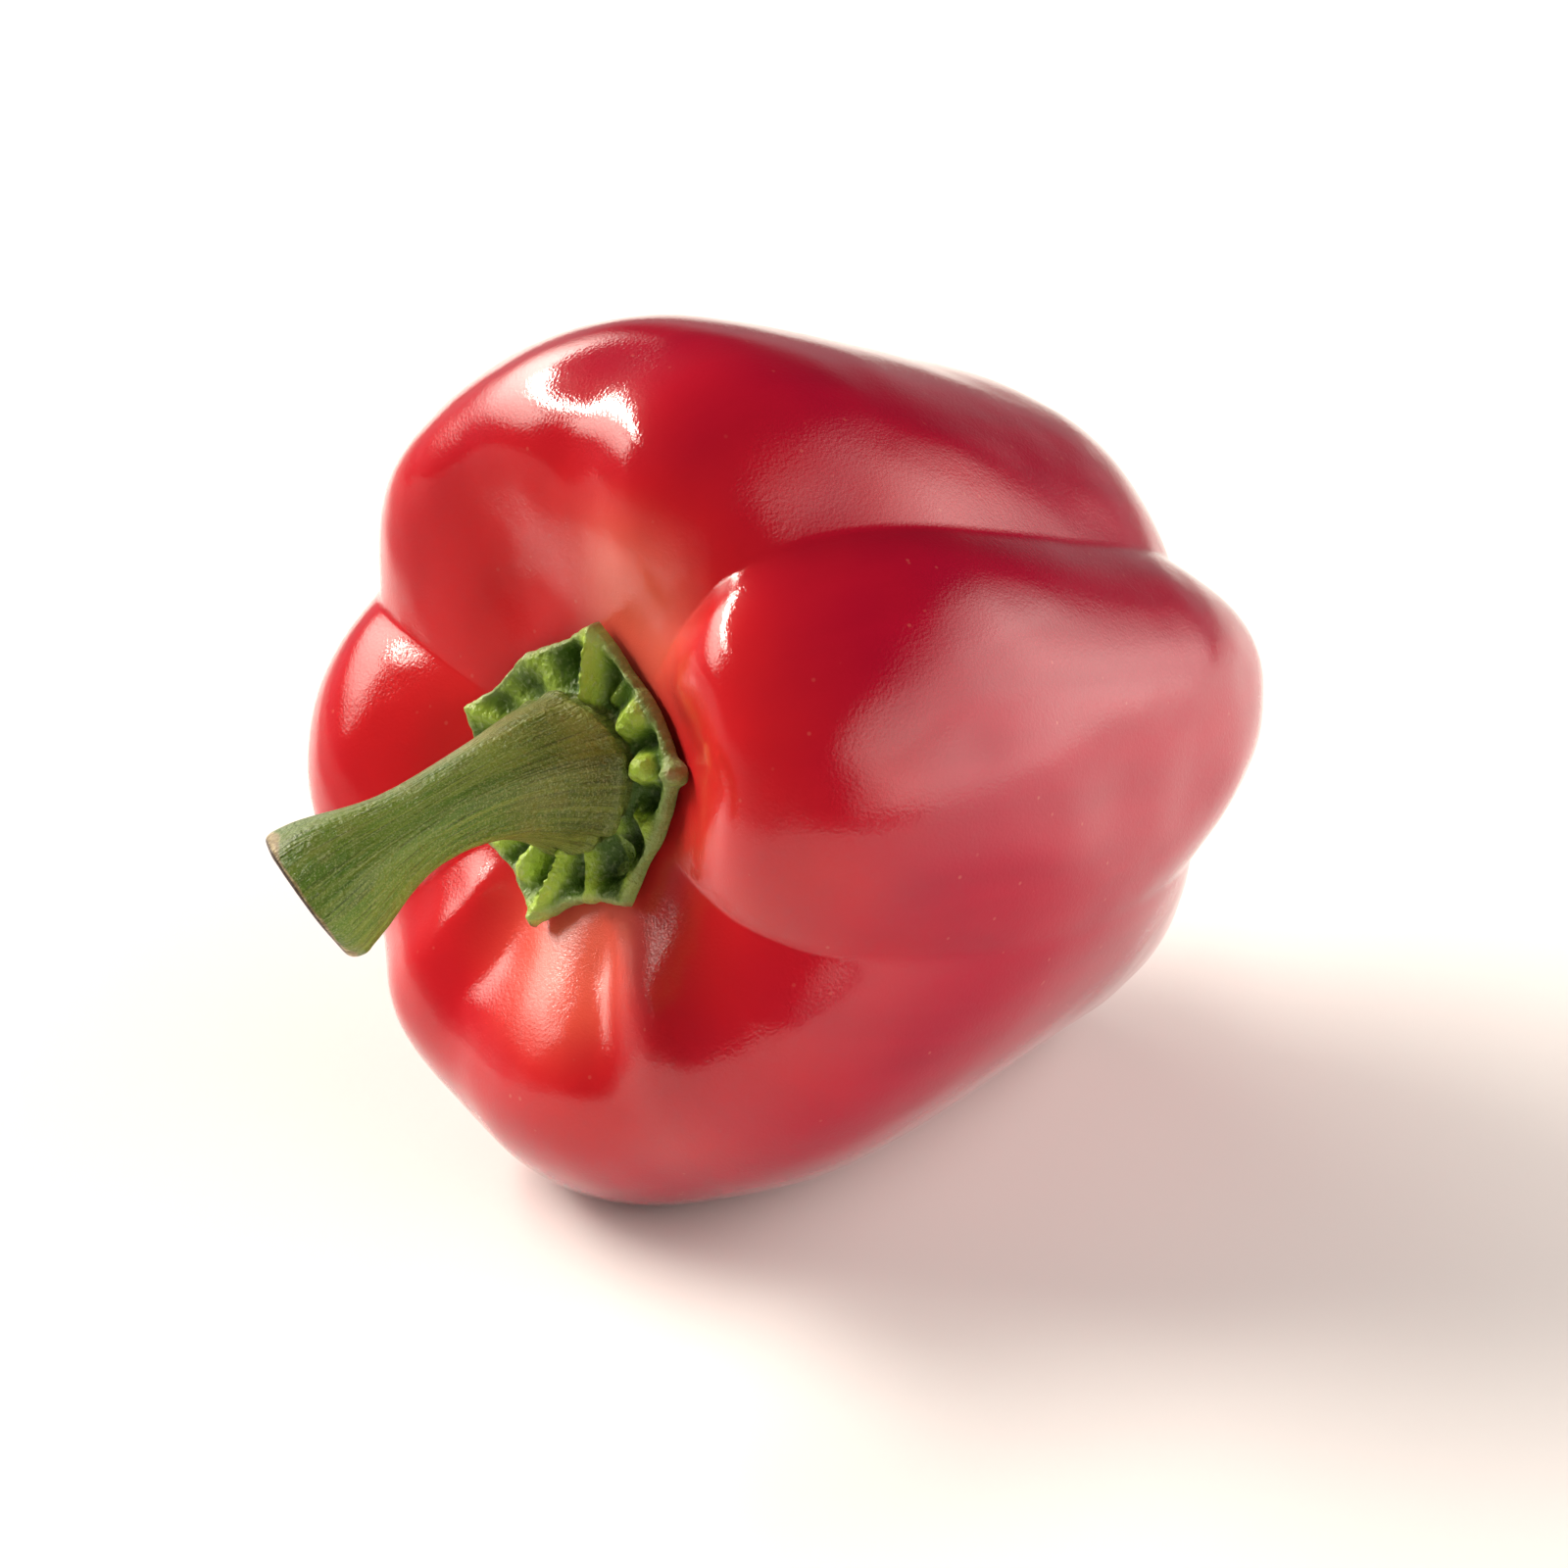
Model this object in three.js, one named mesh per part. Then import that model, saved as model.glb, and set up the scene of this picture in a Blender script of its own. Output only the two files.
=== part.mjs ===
import * as THREE from 'three';

// A large blocky red bell pepper, lying on its side on a flat surface.
// Lengths are in millimetres and angles in degrees.
// The pepper has an axis of its own, from the middle of the stem's seat to the blossom end.
// A bearing round that axis is 0 towards the viewer (-Y), 90 upwards, 180 to the far side and 270 down.
// A height along it is above the seat where it is positive, and towards the blossom end where negative.

// How the pepper lies: the blossom end hangs lower, and the seat is this far from the bottom centre.
const LEAN = 16.5;
const SEAT = new THREE.Vector3(-22.2, -0.6, 47.0);

// The wall of the fruit is drawn by eight lines from stem to blossom, four lobes and four furrows.
// Each has its bearing at the stem, halfway and at the blossom end, how full it stands,
// and its radius and height at rim, crest, brow, shoulder, flank, waist, hip, heel and toe.
const LINES = [
  {
    name: 'front lobe', bearing: [22, 24, 41], full: 0.55,
    path: [[16, -0.6], [23, 6], [32.5, 4.4], [43.5, -8], [43, -27], [40, -47], [37, -61.5], [31, -74.5], [18, -80]],
  },
  {
    name: 'furrow above the front lobe', bearing: [60, 52, 62],
    path: [[16, -0.6], [25, 0], [33, -1], [39, -12], [39, -29], [36, -48], [33.5, -61], [27, -71], [14, -75]],
  },
  {
    name: 'top lobe', bearing: [112, 112, 109], full: 0.6,
    path: [[16, -0.6], [28, 5], [39, 5], [46.5, -9], [44.5, -27], [41.5, -47], [39.5, -62], [31, -75], [17, -79]],
  },
  {
    name: 'furrow behind the top lobe', bearing: [166, 168, 166],
    path: [[16, -0.6], [25, 0], [34, -1], [42, -12], [41, -30], [35, -48], [29, -61], [21, -71], [13, -75]],
  },
  {
    name: 'back lobe', bearing: [196, 196, 196], full: 0.62,
    path: [[16, -0.6], [27, 4], [37, 3], [45, -9], [43, -27], [38, -47], [33, -62], [26, -75], [16, -80]],
  },
  {
    name: 'furrow under the back lobe', bearing: [225, 224, 225],
    path: [[16, -0.6], [25, 0], [34, -1], [42, -12], [41, -30], [34, -48], [29, -61], [22, -71], [13, -75]],
  },
  {
    name: 'bottom lobe', bearing: [282, 284, 286], full: 0.6,
    path: [[16, -0.6], [27, 4.5], [38, 4], [46, -9], [42.5, -27], [34.5, -47], [30.5, -62], [27, -75], [17, -79]],
  },
  {
    name: 'furrow under the front lobe', bearing: [341, 352, 364],
    path: [[16, -0.6], [24, 0.5], [33, -2], [40, -13], [41, -30], [37, -48], [32, -60.5], [23, -70], [13, -74.5]],
  },
];

// Radius and height shared by all eight lines: the dish under the calyx and the dimple at the blossom end.
const DISH = [[0, -2.5], [9, -2.2]];
const DIMPLE = [[7, -77], [0, -74]];

// How round the bottom of a furrow is at each of the thirteen stations from the dish to the dimple.
const FURROW_ROUND = [1, 1, 0.6, 0.22, 0.2, 0.26, 0.35, 0.42, 0.32, 0.22, 0.28, 1, 1];
const CREST_STATION = 3;
const WANDER_STATIONS = 7;

// Soft folds on the lobes: bearing at the stem and at the blossom end, depth (below zero is a swelling),
// half width in degrees, and the stations where the fold begins, is whole, starts to fade and has gone.
const FOLDS = [
  { name: 'edge of the top lobe', bearing: [80, 76], depth: -1.6, width: 13, reach: [1.9, 2.9, 4.0, 5.8] },
  { name: 'pinch in the brow', bearing: [99, 97], depth: 0.7, width: 9, reach: [2.7, 3.5, 4.2, 5.2] },
  { name: 'hollow by the calyx', bearing: [126, 126], depth: 1.3, width: 17, reach: [1.6, 2.4, 2.8, 3.9] },
  { name: 'first pleat below', bearing: [258, 256], depth: 1.1, width: 11, reach: [1.6, 2.5, 4.0, 6.2] },
  { name: 'second pleat below', bearing: [297, 292], depth: 1.9, width: 8, reach: [1.5, 2.4, 4.0, 6.4] },
  { name: 'ridge beside the first pleat', bearing: [238, 240], depth: -0.9, width: 9, reach: [1.5, 2.3, 3.6, 5.2] },
  { name: 'knob beside the stem', bearing: [46, 46], depth: -1.6, width: 15, reach: [1.5, 2.5, 3.0, 4.3] },
  { name: 'outer side of the top lobe', bearing: [147, 147], depth: -1.3, width: 15, reach: [3.0, 4.2, 5.5, 7.5] },
  { name: 'belly it lies on', bearing: [270, 270], depth: -1.3, width: 26, reach: [6.0, 7.6, 9.0, 10.2] },
  { name: 'dent at the front heel', bearing: [10, 12], depth: 0.9, width: 8, reach: [5.8, 6.5, 7.2, 8.2] },
];

const FRUIT_COLUMNS = 90;
const FRUIT_ROWS = 38;

// The stem's middle line as a cubic curve: towards bearing 0, towards bearing 90, and along the axis.
const STEM_ROUTE = [[0, 0, -0.4], [0, 0, 13.6], [-1.1, -6.1, 22.2], [-5.7, -14, 28.4]];
// The stem's radius at even steps from its foot to its cut end.
const STEM_RADII = [8.7, 7.7, 6.5, 5.5, 4.9, 4.5, 4.35, 4.45, 5.1, 6.2, 7.1, 7.5];
const STEM_ROWS = 17;
const STEM_FOOT = 0.025;
const STEM_RIDGES = [28, 92, 148, 206, 262, 326];
const RIDGE_WIDTH = 17;
const RIDGE_HEIGHT = 0.07;
const CUT_ROUNDING = 0.5;
const CUT_HOLLOW = 0.5;

// The calyx is a leathery star. Its teeth have a bearing and a reach from the axis.
const CALYX_RADIUS = 13.1;
const TEETH = [[92, 15.3], [16, 14.6], [316, 15.4], [268, 16.5], [216, 15.2], [172, 15.8]];
const TOOTH_WIDTH = 24;
// A shallow bay between two of the teeth: bearing, half width and depth.
const BAY = [58, 20, 0.9];
const CALYX_THICK = 1.3;

// Knobbly ribs run from the stem's foot to the rim: bearing at the foot and at the rim, height and half width.
const RIBS = [
  { bearing: [87, 92], height: 2.9, width: 9.5 },
  { bearing: [44, 52], height: 2.3, width: 8 },
  { bearing: [18, 16], height: 2.6, width: 8.5 },
  { bearing: [350, 344], height: 1.9, width: 7 },
  { bearing: [318, 316], height: 1.8, width: 7 },
  { bearing: [302, 297], height: 2.0, width: 6 },
  { bearing: [280, 268], height: 2.6, width: 7 },
  { bearing: [255, 254], height: 2.4, width: 8 },
  { bearing: [233, 234], height: 2.0, width: 7 },
  { bearing: [213, 216], height: 2.2, width: 7 },
  { bearing: [192, 194], height: 1.9, width: 7 },
  { bearing: [172, 172], height: 1.8, width: 7 },
  { bearing: [150, 151], height: 1.7, width: 7 },
  { bearing: [126, 130], height: 1.8, width: 8 },
];
// From the foot to the edge: share of the way out, height of the hollows, and share of a rib's height.
const CALYX_STEPS = [
  [0.0, -0.3, 0.35],
  [0.12, -0.5, 0.8],
  [0.3, -0.5, 0.92],
  [0.48, -0.3, 0.88],
  [0.64, 0.2, 0.68],
  [0.78, 0.75, 0.4],
  [0.9, 0.95, 0.22],
  [0.97, 0.65, 0.11],
];
const CALYX_FOOT = 8.6;
// Height of the star's edge over the seat at its plain radius, and its rise for each millimetre further out.
const EDGE_HEIGHT = -0.75;
const EDGE_RISE = 0.3;
// The hollow underside, as radius and height, with the gap that is kept to the skin.
const UNDERSIDE = [[11.2, -1.1], [8, -1.55], [4, -1.85], [0, -1.95]];

const CALYX_COLUMNS = 72;
const SKIN_COLOUR = '#c4161f';
const GREEN_COLOUR = '#5c7a2b';

const radians = THREE.MathUtils.degToRad;

function smoothStep(from, to, x) {
  const t = THREE.MathUtils.clamp((x - from) / (to - from), 0, 1);
  return t * t * (3 - 2 * t);
}

// The shortest way round from one bearing to another, from -180 to 180.
function turnBetween(from, to) {
  return ((to - from + 540) % 360 + 360) % 360 - 180;
}

// A point given in the pepper's own directions, laid down in the part's frame.
const ALONG = new THREE.Vector3(-Math.cos(radians(LEAN)), 0, Math.sin(radians(LEAN)));
const UP = new THREE.Vector3(Math.sin(radians(LEAN)), 0, Math.cos(radians(LEAN)));
const FRONT = new THREE.Vector3(0, -1, 0);

function place(front, up, along) {
  return SEAT.clone().addScaledVector(FRONT, front).addScaledVector(UP, up).addScaledVector(ALONG, along);
}

// A smooth curve (uniform cubic B-spline) over evenly spaced controls, with the ends mirrored.
// The mirror changes sign for a radius, which is zero on the axis, and not for a height or a bearing.
function smoothCurve(controls, u, mirror) {
  const last = controls.length - 1;
  const i = Math.min(Math.floor(u), last - 1);
  const f = u - i;
  const weights = [
    (1 - f) ** 3 / 6,
    (3 * f ** 3 - 6 * f ** 2 + 4) / 6,
    (-3 * f ** 3 + 3 * f ** 2 + 3 * f + 1) / 6,
    f ** 3 / 6,
  ];
  return weights.reduce((sum, weight, j) => {
    const k = i - 1 + j;
    if (k < 0) return sum + mirror * weight * controls[-k];
    if (k > last) return sum + mirror * weight * controls[2 * last - k];
    return sum + weight * controls[k];
  }, 0);
}

// How far a line has wandered from its bearing halfway along, at one station.
function wander(line, station) {
  const share = THREE.MathUtils.clamp((station - CREST_STATION) / WANDER_STATIONS, 0, 1) * 2 - 1;
  const [stem, middle, blossom] = line.bearing;
  return (stem - middle) * Math.max(-share, 0) ** 1.3 + (blossom - middle) * Math.max(share, 0) ** 1.3;
}

function pastFirstLine(bearing) {
  return ((bearing - LINES[0].bearing[1]) % 360 + 360) % 360;
}

// The thirteen controls of the wall at one bearing, between the two lines that lie either side of it.
function wallControls(bearing) {
  const index = LINES.findLastIndex((line) => pastFirstLine(line.bearing[1]) <= pastFirstLine(bearing));
  const before = LINES[index];
  const after = LINES[(index + 1) % LINES.length];
  const share = turnBetween(before.bearing[1], bearing) / turnBetween(before.bearing[1], after.bearing[1]);
  const [lobe, furrow] = before.full ? [before, after] : [after, before];
  const rise = before.full ? 1 - share : share;
  const lobePath = [...DISH, ...lobe.path, ...DIMPLE];
  const furrowPath = [...DISH, ...furrow.path, ...DIMPLE];
  const blend = smoothStep(0, 1, share);
  return FURROW_ROUND.map((round, station) => {
    const lift = (Math.hypot(rise, round) - round) / (Math.hypot(1, round) - round);
    const weight = Math.sin(Math.PI / 2 * lift) ** lobe.full;
    const [lobeRadius, lobeHeight] = lobePath[station];
    const [furrowRadius, furrowHeight] = furrowPath[station];
    return {
      radius: furrowRadius + (lobeRadius - furrowRadius) * weight,
      height: furrowHeight + (lobeHeight - furrowHeight) * weight,
      bearing: bearing + wander(before, station) * (1 - blend) + wander(after, station) * blend,
    };
  });
}

// Depth of all the folds at one bearing and station.
function foldDepth(bearing, station) {
  return FOLDS.reduce((depth, fold) => {
    const share = THREE.MathUtils.clamp((station - CREST_STATION) / WANDER_STATIONS, 0, 1);
    const middle = fold.bearing[0] + (fold.bearing[1] - fold.bearing[0]) * share;
    const [begins, whole, fades, gone] = fold.reach;
    const window = smoothStep(begins, whole, station) * (1 - smoothStep(fades, gone, station));
    return depth + fold.depth * window * Math.exp(-((turnBetween(middle, bearing) / fold.width) ** 2));
  }, 0);
}

// A point of the skin, pushed in along the wall's own normal by the folds, and flat where it rests.
function skinPoint(controls, station) {
  const radii = controls.map((control) => control.radius);
  const heights = controls.map((control) => control.height);
  const step = 0.01;
  const ahead = Math.min(station + step, controls.length - 1);
  const behind = Math.max(station - step, 0);
  const alongRadius = smoothCurve(radii, ahead, -1) - smoothCurve(radii, behind, -1);
  const alongHeight = smoothCurve(heights, ahead, 1) - smoothCurve(heights, behind, 1);
  const length = Math.hypot(alongRadius, alongHeight);
  const bearing = smoothCurve(controls.map((control) => control.bearing), station, 1);
  const depth = foldDepth(bearing, station);
  const radius = smoothCurve(radii, station, -1) + depth * alongHeight / length;
  const height = smoothCurve(heights, station, 1) - depth * alongRadius / length;
  const angle = radians(bearing);
  const point = place(radius * Math.cos(angle), radius * Math.sin(angle), height);
  point.z = Math.max(point.z, 0);
  return point;
}

// A closed surface over rows of points, from the single point that starts it to the one that ends it.
function closedSurface(first, rows, last) {
  const columns = rows[0].length;
  const points = [first, ...rows.flat(), last];
  const end = points.length - 1;
  const at = (row, column) => 1 + row * columns + (column % columns);
  const faces = [];
  for (let column = 0; column < columns; column += 1) {
    faces.push(0, at(0, column), at(0, column + 1));
    for (let row = 0; row < rows.length - 1; row += 1) {
      faces.push(at(row, column), at(row + 1, column), at(row + 1, column + 1));
      faces.push(at(row, column), at(row + 1, column + 1), at(row, column + 1));
    }
    faces.push(at(rows.length - 1, column), end, at(rows.length - 1, column + 1));
  }
  const geometry = new THREE.BufferGeometry().setFromPoints(points);
  geometry.setIndex(faces);
  geometry.computeVertexNormals();
  return geometry;
}

function makeFruit() {
  const columns = Array.from({ length: FRUIT_COLUMNS }, (_, i) => wallControls(i * 360 / FRUIT_COLUMNS));
  const stations = FURROW_ROUND.length - 1;
  const rows = Array.from({ length: FRUIT_ROWS }, (_, i) => {
    const station = (i + 1) * stations / (FRUIT_ROWS + 1);
    return columns.map((controls) => skinPoint(controls, station));
  });
  const seat = skinPoint(columns[0], 0);
  const blossom = skinPoint(columns[0], stations);
  return closedSurface(seat, rows, blossom);
}

// How far a bump of a given half width reaches at a bearing: one at its middle, nothing beyond twice that.
function bump(middle, width, bearing) {
  return Math.exp(-((turnBetween(middle, bearing) / width) ** 2));
}

// One ring of the stem at a share of its length, in the plane across its middle line.
function stemRing(route, share, radiusShare, sink) {
  const middle = route.getPoint(share);
  const along = route.getTangent(share);
  const front = new THREE.Vector3(1, 0, 0).addScaledVector(along, -along.x).normalize();
  const up = along.clone().cross(front);
  const steps = STEM_RADII.length - 1;
  const radius = smoothCurve([...STEM_RADII], share * steps, 1) * radiusShare;
  return Array.from({ length: CALYX_COLUMNS }, (_, i) => {
    const bearing = i * 360 / CALYX_COLUMNS;
    const ridges = STEM_RIDGES.reduce((sum, ridge) => sum + bump(ridge, RIDGE_WIDTH, bearing), 0);
    const reach = radius * (1 + RIDGE_HEIGHT * (ridges - 0.5));
    const point = middle.clone();
    point.addScaledVector(front, reach * Math.cos(radians(bearing)));
    point.addScaledVector(up, reach * Math.sin(radians(bearing)));
    point.addScaledVector(along, -sink);
    return place(point.x, point.y, point.z);
  });
}

// The star's outline: a plain radius with a bay, and a pointed tooth at each of its bearings.
function calyxReach(bearing) {
  const [bayBearing, bayWidth, bayDepth] = BAY;
  return TEETH.reduce((reach, [middle, tip]) => {
    const near = Math.max(1 - Math.abs(turnBetween(middle, bearing)) / TOOTH_WIDTH, 0);
    return reach + (tip - CALYX_RADIUS) * near ** 2;
  }, CALYX_RADIUS - bayDepth * bump(bayBearing, bayWidth, bearing));
}

function ribHeight(bearing, share) {
  return RIBS.reduce((height, rib) => {
    const middle = rib.bearing[0] + turnBetween(rib.bearing[0], rib.bearing[1]) * share;
    return Math.max(height, rib.height * bump(middle, rib.width, bearing));
  }, 0);
}

// One ring of the calyx, given for each bearing by a radius and a height.
function calyxRing(shape) {
  return Array.from({ length: CALYX_COLUMNS }, (_, i) => {
    const bearing = i * 360 / CALYX_COLUMNS;
    const [radius, height] = shape(bearing);
    return place(radius * Math.cos(radians(bearing)), radius * Math.sin(radians(bearing)), height);
  });
}

function makeCalyxAndStem() {
  const route = new THREE.CubicBezierCurve3(...STEM_ROUTE.map((point) => new THREE.Vector3(...point)));
  const stem = Array.from({ length: STEM_ROWS }, (_, i) => {
    const share = 1 - (1 - STEM_FOOT) * i / (STEM_ROWS - 1);
    return stemRing(route, share, 1, CUT_ROUNDING * (i === 0));
  });
  const cut = [stemRing(route, 1, 0.45, CUT_HOLLOW), stemRing(route, 1, 0.86, 0)];
  const top = CALYX_STEPS.map(([share, hollow, ribShare]) => calyxRing((bearing) => [
    CALYX_FOOT + (calyxReach(bearing) - CALYX_FOOT) * share,
    hollow + (EDGE_RISE * Math.max(calyxReach(bearing) - CALYX_RADIUS, 0)) * share ** 2
      + ribHeight(bearing, share) * ribShare,
  ]));
  const edgeHeight = (bearing) => EDGE_HEIGHT + EDGE_RISE * (calyxReach(bearing) - CALYX_RADIUS);
  const edge = [
    calyxRing((bearing) => [calyxReach(bearing), edgeHeight(bearing) + CALYX_THICK / 3]),
    calyxRing((bearing) => [calyxReach(bearing) - 0.3, edgeHeight(bearing)]),
  ];
  const under = UNDERSIDE.slice(0, -1).map((step) => calyxRing(() => step));
  const [, deepest] = UNDERSIDE[UNDERSIDE.length - 1];
  const end = route.getPoint(1).addScaledVector(route.getTangent(1), -CUT_HOLLOW);
  return closedSurface(place(end.x, end.y, end.z), [...cut, ...stem, ...top, ...edge, ...under], place(0, 0, deepest));
}

function namedMesh(name, geometry, colour, roughness) {
  const material = new THREE.MeshStandardMaterial({ color: colour, roughness, metalness: 0 });
  const mesh = new THREE.Mesh(geometry, material);
  mesh.name = name;
  return mesh;
}

const pepper = new THREE.Group();
pepper.add(namedMesh('fruit', makeFruit(), SKIN_COLOUR, 0.2));
pepper.add(namedMesh('calyx_and_stem', makeCalyxAndStem(), GREEN_COLOUR, 0.55));

export default pepper;
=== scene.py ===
# %% [markdown]
# A bell pepper
#
# This lesson dresses a bell pepper that already exists as two plain solids: the red fruit, and the green
# calyx with its stem. The solids fix the size and the place. Here each of them is replaced by a much finer
# surface worked out from the same few measurements, and then gets its finish: waxy red skin, leathery green
# calyx, ridged green stem. First the frame is loaded.

import bpy
import numpy as np
from mathutils import Matrix, Vector


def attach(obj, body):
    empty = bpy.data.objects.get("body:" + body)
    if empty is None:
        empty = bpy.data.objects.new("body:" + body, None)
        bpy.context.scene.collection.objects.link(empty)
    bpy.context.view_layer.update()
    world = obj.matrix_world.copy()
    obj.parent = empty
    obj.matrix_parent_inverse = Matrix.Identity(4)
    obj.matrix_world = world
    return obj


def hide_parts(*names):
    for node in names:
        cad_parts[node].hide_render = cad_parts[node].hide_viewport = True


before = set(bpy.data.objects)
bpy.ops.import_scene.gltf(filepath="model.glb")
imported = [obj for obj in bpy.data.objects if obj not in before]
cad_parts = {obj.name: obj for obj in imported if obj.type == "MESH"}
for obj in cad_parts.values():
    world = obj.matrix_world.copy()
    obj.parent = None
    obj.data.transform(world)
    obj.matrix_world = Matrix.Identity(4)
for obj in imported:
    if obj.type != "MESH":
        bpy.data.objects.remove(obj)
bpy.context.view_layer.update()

# %% [markdown]
# How the pepper lies
#
# A pepper is easiest to describe round its own axis, which runs from the middle of the stem's seat to the
# blossom end. Every point then has a bearing round the axis (0 towards the viewer, 90 up, 180 to the far
# side, 270 down), a radius and a height above the seat. One function lays such points down in the frame's
# axes, leaning by the angle at which the real pepper came to rest. All measurements are in millimetres, and
# this function is the one place where they turn into metres.

# %% The pepper's own directions
LEAN = np.radians(16.5)
SEAT = np.array([-22.2, -0.6, 47.0])
ALONG = np.array([-np.cos(LEAN), 0, np.sin(LEAN)])
UP = np.array([np.sin(LEAN), 0, np.cos(LEAN)])
FRONT = np.array([0, -1, 0])
MILLIMETRE = 0.001


def place(front, up, along):
    """Seat plus so much to the front, so much up and so much along the axis, in metres."""
    parts = [np.asarray(share)[..., None] * way for share, way in ((front, FRONT), (up, UP), (along, ALONG))]
    return (SEAT + parts[0] + parts[1] + parts[2]) * MILLIMETRE


def place_round(radius, bearing, height):
    """Radius times cosine of the bearing to the front, radius times sine up, height along the axis."""
    angle = np.radians(bearing)
    return place(radius * np.cos(angle), radius * np.sin(angle), height)


# %% [markdown]
# Smooth curves, steps and bumps
#
# Grown things have no corners, so every measurement here is carried by a smooth curve through a few controls.
# A cubic B-spline is a good choice, because each point of it is a weighted mean of four controls, and the
# whole surface then costs one matrix product. The other helpers are an easy step from 0 to 1, a bell-shaped
# bump round a bearing, and a soft random relief, made by blending a seeded lattice of random numbers.

# %% Helpers for smooth shapes
def smooth_step(start, end, x):
    """Zero before start, one after end, and 3t^2 - 2t^3 between them."""
    t = np.clip((x - start) / (end - start), 0, 1)
    return t * t * (3 - 2 * t)


def turn_between(start, end):
    """The shortest way round from one bearing to another, from -180 to 180 degrees."""
    return (end - start + 180) % 360 - 180


def bump(middle, width, bearing):
    """A bell curve, exp(-(d / width)^2), of the angle d between two bearings."""
    return np.exp(-((turn_between(middle, bearing) / width) ** 2))


def curve_weights(u, controls, mirror):
    """Weights of a uniform cubic B-spline at the places u, over evenly spaced controls.

    The four weights are (1-f)^3, 3f^3-6f^2+4, 1+3f+3f^2-3f^3 and f^3, each over 6, where f is how far u is
    past the control before it. Controls beyond an end are the mirror image, with the sign of a radius turned.
    """
    first = np.minimum(np.floor(u).astype(int), controls - 2)
    f = u - first
    weights = [(1 - f) ** 3, 3 * f**3 - 6 * f**2 + 4, 1 + 3 * f + 3 * f**2 - 3 * f**3, f**3]
    table = np.zeros((len(u), controls))
    for step, weight in enumerate(weights):
        index = first - 1 + step
        outside = (index < 0) | (index >= controls)
        index = np.where(index < 0, -index, np.where(index >= controls, 2 * (controls - 1) - index, index))
        np.add.at(table, (np.arange(len(u)), index), weight / 6 * np.where(outside, mirror, 1))
    return table


def soft_relief(across, along, columns, rows, seed):
    """Smooth random relief between -1 and 1 over two parameters that run from 0 to 1.

    A lattice of seeded random numbers, columns by rows and joined up round the columns, is blended between
    its four nearest numbers with smooth steps.
    """
    lattice = np.random.default_rng(seed).uniform(-1, 1, (columns, rows + 2))
    x, y = across * columns, np.clip(along, 0, 1) * rows
    i, j = np.floor(x).astype(int), np.floor(y).astype(int)
    fx, fy = smooth_step(0, 1, x - i), smooth_step(0, 1, y - j)
    near, far = i % columns, (i + 1) % columns
    start = lattice[near, j] * (1 - fx) + lattice[far, j] * fx
    end = lattice[near, j + 1] * (1 - fx) + lattice[far, j + 1] * fx
    return start * (1 - fy) + end * fy


# %% [markdown]
# The fruit's eight lines
#
# A blocky pepper has four lobes with a furrow between each two, because it grew from four chambers. Eight
# lines drawn from stem to blossom, along the crowns of the lobes and the bottoms of the furrows, hold the
# whole form. A sculpt would do too, but eight short profiles are easy to measure, to read and to change.
# Each line gives radius and height at nine places, and all eight share the dish under the calyx and the
# dimple at the blossom end.

# %% Measurements of the fruit
# Bearing at the stem, halfway and at the blossom end, how full a lobe stands (furrows have none), and then
# radius and height at rim, crest, brow, shoulder, flank, waist, hip, heel and toe.
LINES = [
    ((22, 24, 41), 0.55,
     ((16, -0.6), (23, 6), (32.5, 4.4), (43.5, -8), (43, -27), (40, -47), (37, -61.5), (31, -74.5),
      (18, -80))),
    ((60, 52, 62), None,
     ((16, -0.6), (25, 0), (33, -1), (39, -12), (39, -29), (36, -48), (33.5, -61), (27, -71), (14, -75))),
    ((112, 112, 109), 0.6,
     ((16, -0.6), (28, 5), (39, 5), (46.5, -9), (44.5, -27), (41.5, -47), (39.5, -62), (31, -75), (17, -79))),
    ((166, 168, 166), None,
     ((16, -0.6), (25, 0), (34, -1), (42, -12), (41, -30), (35, -48), (29, -61), (21, -71), (13, -75))),
    ((196, 196, 196), 0.62,
     ((16, -0.6), (27, 4), (37, 3), (45, -9), (43, -27), (38, -47), (33, -62), (26, -75), (16, -80))),
    ((225, 224, 225), None,
     ((16, -0.6), (25, 0), (34, -1), (42, -12), (41, -30), (34, -48), (29, -61), (22, -71), (13, -75))),
    ((282, 284, 286), 0.6,
     ((16, -0.6), (27, 4.5), (38, 4), (46, -9), (42.5, -27), (34.5, -47), (30.5, -62), (27, -75), (17, -79))),
    ((341, 352, 364), None,
     ((16, -0.6), (24, 0.5), (33, -2), (40, -13), (41, -30), (37, -48), (32, -60.5), (23, -70), (13, -74.5))),
]
DISH = ((0, -2.5), (9, -2.2))
DIMPLE = ((7, -77), (0, -74))
FURROW_ROUND = (1, 1, 0.6, 0.22, 0.2, 0.26, 0.35, 0.42, 0.32, 0.22, 0.28, 1, 1)
CREST_STATION = 3
WANDER_STATIONS = 7
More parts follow.
